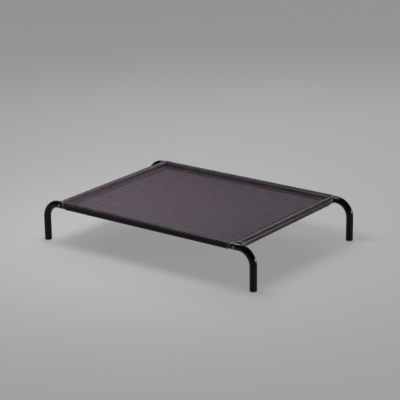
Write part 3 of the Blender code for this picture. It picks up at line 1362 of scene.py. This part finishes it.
    def place(self, edge: Edge, along: Numbers, length: Numbers, lift: Numbers | float = 0.0) -> Numbers:
        """Places on a sleeve, or a little out of it.

        The outline gives the place in cross-section, and the lift goes along the outline's normal.

        Args:
            edge: Which sleeve.
            along: How far along the tube.
            length: The length of cloth from the upper free edge.
            lift: How far out of the cloth's middle.

        Returns:
            The points.
        """
        inward, height, angle = self.outline.at(length)
        inward = inward + lift * np.cos(angle)
        height = height + lift * np.sin(angle) + self.puckers(edge, along, inward)
        return self.to_world(edge, along, inward, height)

    def corner_place(self, corner: Corner, over: Numbers, back: Numbers, lift: Numbers) -> Numbers:
        """Places on the two sleeves that meet at a corner, by their flat place from where the tubes cross.

        On the rail's side of the mitre the cloth goes round the rail, and on the other side round the
        crossbar. Close to the mitre the point moves evenly from one to the other.

        Args:
            corner: Which corner.
            over: How far along the rail, past the crossbar.
            back: How far along the crossbar, towards its middle.
            lift: How far out of the cloth's middle.

        Returns:
            The points.
        """
        rail, bar = Edge[corner.side.name], Edge[corner.end.name]
        sign = -corner.side.value * corner.end.value
        top = self.outline.top
        on_rail = self.place(rail, sign * (self.layout.half_length(rail) + over), top - back, lift)
        on_bar = self.place(bar, sign * (back - self.layout.half_length(bar)), top + over, lift)
        share = smooth_step(-self.mitre_blend, self.mitre_blend, over + back)[..., None]
        return on_rail * (1 - share) + on_bar * share

    def sleeve(self, edge: Edge) -> tuple[Shape, Numbers]:
        """A sleeve: its outline's points, each carried along the tube as far as the cut lets it.

        Args:
            edge: Which sleeve.

        Returns:
            The sleeve, and the length of its strip of cloth at each row.
        """
        rows, columns = self.sleeve_grid
        length = np.linspace(0, self.outline.total, rows)[:, None]
        reach = self.layout.half_length(edge) - self.cut_end(edge, length)
        along = np.linspace(-1, 1, columns) * reach
        flat = self.to_world(edge, along, self.edge_in - length, 0)[..., :2]
        return cloth_solid(self.place(edge, along, length), flat, self.thickness), 2 * reach[:, 0]

    def panel_half(self, edge: Edge) -> float:
        """Half the panel's size across an edge, from the middle of the bed to the panel's own edge."""
        return self.layout.half_span(edge) - self.edge_in + self.seam_width

    def panel(self) -> Shape:
        """The panel: a sagging sheet with puckers along its seams and folds drawn in from its corners.

        The sag is its depth times (1 - x^2) times (1 - y^2), with x and y from 0 in the middle to 1 at the
        seams. The folds by the crossbars are sines that fade inward, and those at a corner are sines of the
        angle round it, which fade with the distance.

        Returns:
            The panel.
        """
        rows, columns = self.panel_grid
        half_x, half_y = self.panel_half(Edge.RIGHT), self.panel_half(Edge.FRONT)
        x, y = np.meshgrid(np.linspace(-half_x, half_x, columns), np.linspace(-half_y, half_y, rows))
        hollow_x = np.clip(1 - (x / (half_x - self.seam_width)) ** 2, 0, 1)
        hollow_y = np.clip(1 - (y / (half_y - self.seam_width)) ** 2, 0, 1)
        height = -self.seam_drop - self.sag * hollow_x * hollow_y
        for edge in Edge:
            along, inward = self.from_world(edge, x, y)
            height = height + self.puckers(edge, along, inward)
            if not edge.on_rail:
                wave = np.sin(2 * math.pi * inward / self.fold_wave) * np.exp(-inward / self.fold_fade)
                height = height + self.fold * wave * smooth_step(*self.fold_start, inward)
        corner_x = self.layout.crossbar_spacing / 2 - np.abs(x)
        corner_y = self.layout.rail_spacing / 2 - np.abs(y)
        fan = np.sin(self.tension_rays * np.arctan2(corner_y, corner_x) + np.sign(x))
        fade = np.exp(-np.hypot(corner_x, corner_y) / self.tension_fade)
        inside = smooth_step(0, self.rim_share, hollow_x) * smooth_step(0, self.rim_share, hollow_y)
        height = height + self.tension_fold * fan * fade * inside
        grid = np.stack([x, y, self.layout.rail_height + height], -1)
        return cloth_solid(grid, grid[..., :2], self.thickness)

    def cut_path(self) -> tuple[Numbers, Numbers]:
        """The cut at a corner, on the flat cloth: up round the rail, over the corner, down the crossbar.

        Returns:
            The path as (over, back) points at even steps, and the directions into the cloth.
        """
        end = self.outline.total - self.outline.top - self.seam_width - self.cut_margin
        past = np.linspace(0, end, self.cut_samples)
        length = self.outline.top + past
        rail = np.stack([-self.cut_end(Edge.FRONT, length), -past], 1)[::-1]
        bar = np.stack([past, self.cut_end(Edge.RIGHT, length)], 1)
        rough = np.vstack([rail, bar])
        lengths = travelled(rough)
        path = np.stack(read_off(np.linspace(0, lengths[-1], self.cut_steps), lengths, rough), 1)
        ahead = np.gradient(path, axis=0)
        ahead /= np.linalg.norm(ahead, axis=1, keepdims=True)
        return path, np.stack([-ahead[:, 1], ahead[:, 0]], 1)

    def binding(self, corner: Corner) -> Shape:
        """A tape folded over a corner's cut edge: a hairpin section carried along the cut.

        Args:
            corner: Which corner.

        Returns:
            The tape.
        """
        section = self.tape.section(self.thickness)
        path, into = self.cut_path()
        places = path[:, None] + into[:, None] * section[None, :, :1]
        lift = np.broadcast_to(section[:, 1], places.shape[:2])
        grid = self.corner_place(corner, places[..., 0], places[..., 1], lift)
        flat = np.stack(np.broadcast_arrays(travelled(path)[:, None], travelled(section)), -1)
        return capped_solids(grid[None], flat)

    def seam_stitches(self, edge: Edge) -> Shape:
        """Two rows of stitches on each of a sleeve's flaps, each stitch a little out of line.

        Args:
            edge: Which sleeve.

        Returns:
            The stitches.
        """
        along, across, rise = self.stitch.rod()
        lift = self.thickness / 2 + rise
        chance = np.random.default_rng(self.first_seed + edge.value)
        rows = []
        for line in [*self.stitch_rows, *(self.outline.total - row for row in self.stitch_rows)]:
            end = float(self.cut_end(edge, np.array(line))) + self.stitch.row_end
            reach = self.layout.half_length(edge) - end
            count = int(2 * reach / self.stitch.pitch)
            centres = np.linspace(-reach, reach, count)[:, None, None]
            stray = chance.normal(0, self.stitch.stray, (2, count, 1, 1))
            rows.append(self.place(edge, centres + stray[0] + along, line + stray[1] + across, lift))
        return capped_solids(np.concatenate(rows))

    def binding_stitches(self, corner: Corner) -> Shape:
        """A row of stitches along a corner's tape.

        Args:
            corner: Which corner.

        Returns:
            The stitches.
        """
        along, across, rise = self.stitch.rod()
        path, into = self.cut_path()
        lengths = travelled(path)
        centres = np.arange(self.stitch.row_end, lengths[-1] - self.stitch.row_end, self.stitch.pitch)
        reached = centres[:, None, None] + along
        depth = self.tape.width * self.tape.stitch_line + across
        over, back = read_off(reached, lengths, path)
        into_over, into_back = read_off(reached, lengths, into)
        lift = self.thickness / 2 + self.tape.thickness + np.broadcast_to(rise, reached.shape)
        over, back = over + into_over * depth, back + into_back * depth
        return capped_solids(self.corner_place(corner, over, back, lift))

    def build(self, finishes: SlingFinishes) -> None:
        """Args:
            finishes: The sling's materials.
        """
        for edge in Edge:
            shape, strip = self.sleeve(edge)
            # The sleeves take darker copies of the panel's mesh, whose darkening is painted shade.
            mesh = finishes.on_rails if edge.on_rail else finishes.on_crossbars
            cloth = make_piece(f"{edge.sleeve}_cloth", shape, mesh, "coated_mesh", edge.sleeve)
            stitches = self.seam_stitches(edge)
            extras = [make_piece(f"{edge.sleeve}_stitches", stitches, finishes.thread, "coated_mesh")]
            for corner in CORNERS:
                if corner.side.name == edge.name:
                    extras += self.bind(corner, finishes)
            flat = (self.outline.total, float(strip.max()))
            edge.tube
        panel = make_piece("mesh_panel_cloth", self.panel(), finishes.panel, "coated_mesh", "mesh_panel")
        flat = (2 * self.panel_half(Edge.RIGHT), 2 * self.panel_half(Edge.FRONT))
        [f"{edge.sleeve}_cloth" for edge in Edge]

    def bind(self, corner: Corner, finishes: SlingFinishes) -> list[bpy.types.Object]:
        """Puts a corner's tape and its stitches into the scene.

        Args:
            corner: Which corner.
            finishes: The sling's materials.

        Returns:
            The pieces.
        """
        name = f"binding_{corner.name}"
        tape = make_piece(name, self.binding(corner), finishes.tape, "coated_mesh")
        stitches = self.binding_stitches(corner)
        return [tape, make_piece(f"{name}_stitches", stitches, finishes.thread, "coated_mesh")]


# The studio


@dataclass(frozen=True)
class StudioPaint:
    """Matt pale paint that shows pale, to the eye and in gloss, but throws little light back."""

    shown: Colour
    thrown: Colour

    def colour(self, board: NodeBoard) -> Signal:
        """The colour that a ray finds: one for camera, glossy and transmitted rays, another for the rest.

        Args:
            board: The floor's nodes.

        Returns:
            The colour.
        """
        camera = board.add("ShaderNodeLightPath", output="Is Camera Ray")
        seen = camera.greatest(camera.sibling("Is Glossy Ray"))
        seen = seen.greatest(camera.sibling("Is Transmission Ray"))
        return board.mix(seen, self.thrown, self.shown)


@dataclass(frozen=True)
class SoftLamp:
    """A flat soft lamp, so wide and so high, that points at a place."""

    name: str
    place: Place
    aim: Place
    size: Pair
    power: float

    def light(self) -> None:
        """Puts the lamp into the scene."""
        data = bpy.data.lights.new(self.name, "AREA")
        data.shape = "RECTANGLE"
        data.size, data.size_y = self.size
        data.energy = self.power
        lamp = bpy.data.objects.new(self.name, data)
        lamp.location = self.place
        direction = Vector(self.aim) - Vector(self.place)
        lamp.rotation_euler = direction.to_track_quat("-Z", "Y").to_euler()
        lamp.visible_camera = False
        bpy.context.scene.collection.objects.link(lamp)


@dataclass(frozen=True)
class Studio:
    """A pale round floor, air that is pale at the horizon, soft lamps, and the photograph's view."""

    floor_radius: float = 14.0
    floor_drop: float = 0.0002
    floor_sides: int = 96
    floor_roughness: float = 0.9
    floor_specular: float = 0.1
    floor: StudioPaint = StudioPaint((0.20, 0.20, 0.20), (0.03, 0.03, 0.03))
    floor_glow: StudioPaint = StudioPaint((0.28, 0.28, 0.28), (0.0, 0.0, 0.0))
    horizon: Colour = (0.40, 0.40, 0.40)
    upper_air: Colour = (0.05, 0.05, 0.05)
    air_fade: Pair = (0.04, 0.22)
    camera_place: Place = (3.0614, -4.0873, 1.8234)
    yaw: float = 0.641351
    pitch: float = 0.317408
    roll: float = -0.012328
    lens: float = 139.29
    sensor: float = 36.0
    farthest: float = 100.0
    lamps: tuple[SoftLamp, ...] = (
        SoftLamp("overhead_softbox", (-0.26, -0.20, 1.12), (-0.1, -0.1, 0.12), (0.6, 0.6), 11.5),
        SoftLamp("rear_softbox", (-0.45, 2.08, 1.74), (0.3, 0.0, 0.12), (0.9, 0.9), 12.0),
        SoftLamp("right_striplight", (2.95, 2.05, 0.56), (0.4, 0.0, 0.1), (1.3, 0.45), 52.0),
        SoftLamp("left_softbox", (-1.54, 1.13, 1.67), (0.0, -0.3, 0.14), (0.8, 0.8), 11.0),
    )

    def build(self) -> None:
        """Puts the camera, the floor, the air and the lamps into the scene."""
        bpy.context.scene.view_settings.view_transform = "Standard"
        self.point_camera()
        self.lay_floor()
        self.fill_air()
        for lamp in self.lamps:
            lamp.light()

    def point_camera(self) -> None:
        """Adds the camera: rolled, tipped down by the pitch, turned about Z by the yaw, and moved."""
        data = bpy.data.cameras.new("camera")
        data.lens = self.lens
        data.sensor_width = self.sensor
        data.clip_end = self.farthest
        camera = bpy.data.objects.new("camera", data)
        turn = Matrix.Rotation(self.yaw, 4, "Z")
        tip = Matrix.Rotation(QUARTER - self.pitch, 4, "X")
        roll = Matrix.Rotation(self.roll, 4, "Z")
        camera.matrix_world = Matrix.Translation(self.camera_place) @ turn @ tip @ roll
        bpy.context.scene.collection.objects.link(camera)
        bpy.context.scene.camera = camera

    def lay_floor(self) -> None:
        """Adds the floor, a flat disc just under the feet."""
        board = NodeBoard.of_material("floor_paint")
        paint = board.surface(
            {
                "Base Color": self.floor.colour(board),
                "Roughness": self.floor_roughness,
                "Specular IOR Level": self.floor_specular,
                "Emission Color": self.floor_glow.colour(board),
                "Emission Strength": 1.0,
            }
        )
        mesh = bpy.data.meshes.new("floor")
        rim = turned(np.array([(self.floor_radius, -self.floor_drop)]), self.floor_sides)[0]
        mesh.from_pydata(rim, [], [list(range(self.floor_sides))])
        mesh.materials.append(paint)
        floor = bpy.data.objects.new("floor", mesh)
        bpy.context.scene.collection.objects.link(floor)

    def fill_air(self) -> None:
        """Sets the world's light, by the height of a ray's direction: pale at the horizon, dim above."""
        world = bpy.data.worlds.new("studio_air")
        board = NodeBoard(world)
        direction = board.add("ShaderNodeTexCoord", output="Generated")
        height = board.parts(direction)[2]
        colour = board.mix(height.ramp(*self.air_fade), self.horizon, self.upper_air)
        light = board.add("ShaderNodeBackground", sockets={"Color": colour})
        board.add("ShaderNodeOutputWorld", sockets={"Surface": light})
        bpy.context.scene.world = world


def main() -> None:
    """Builds the studio and the bed's looks, piece by piece."""
    logging.basicConfig(level=logging.INFO, format="%(name)s: %(message)s")
    Studio().build()
    layout = Layout.from_frame()
    log.info("layout: %s", layout)
    caps = MouldedPlastic("black_foot_plastic", colour=(0.015, 0.014, 0.015))
    steel = PlatedSteel("dull_zinc", colour=(0.24, 0.22, 0.20), clouded=(0.15, 0.135, 0.12), roughness=0.4)
    bronze = PlatedSteel(
        "brown_zinc", colour=(0.085, 0.052, 0.038), clouded=(0.055, 0.036, 0.028), roughness=0.45
    )
    plugs = MouldedPlastic("grey_insert_plastic", colour=(0.05, 0.05, 0.05))
    # The panel's mesh, then two darker copies for the sleeves: on the crossbars darker partly for the black
    # tube under the open weave and partly as painted shade, on the rails darker still, with less coat, as
    # painted shade.
    meshes = [
        CoatedMesh("coated_mesh", warp=(0.142, 0.101, 0.137), weft=(0.024, 0.017, 0.023)),
        CoatedMesh(
            "coated_mesh_on_rails", warp=(0.053, 0.037, 0.051), weft=(0.017, 0.012, 0.016), coat=0.12
        ),
        CoatedMesh("coated_mesh_on_crossbars", warp=(0.062, 0.042, 0.057), weft=(0.031, 0.021, 0.029)),
    ]
    TubeFrame(layout).build(PowderCoat().material())
    FootCaps(layout).build(caps.material())
    CornerFastenings(layout).build(steel.material(), bronze.material())
    dress_plugs(plugs.material())
    cloth = [mesh.material() for mesh in meshes]
    Sling(layout).build(SlingFinishes(*cloth, BindingTape().material(), Thread().material()))


if __name__ == "__main__":
    main()
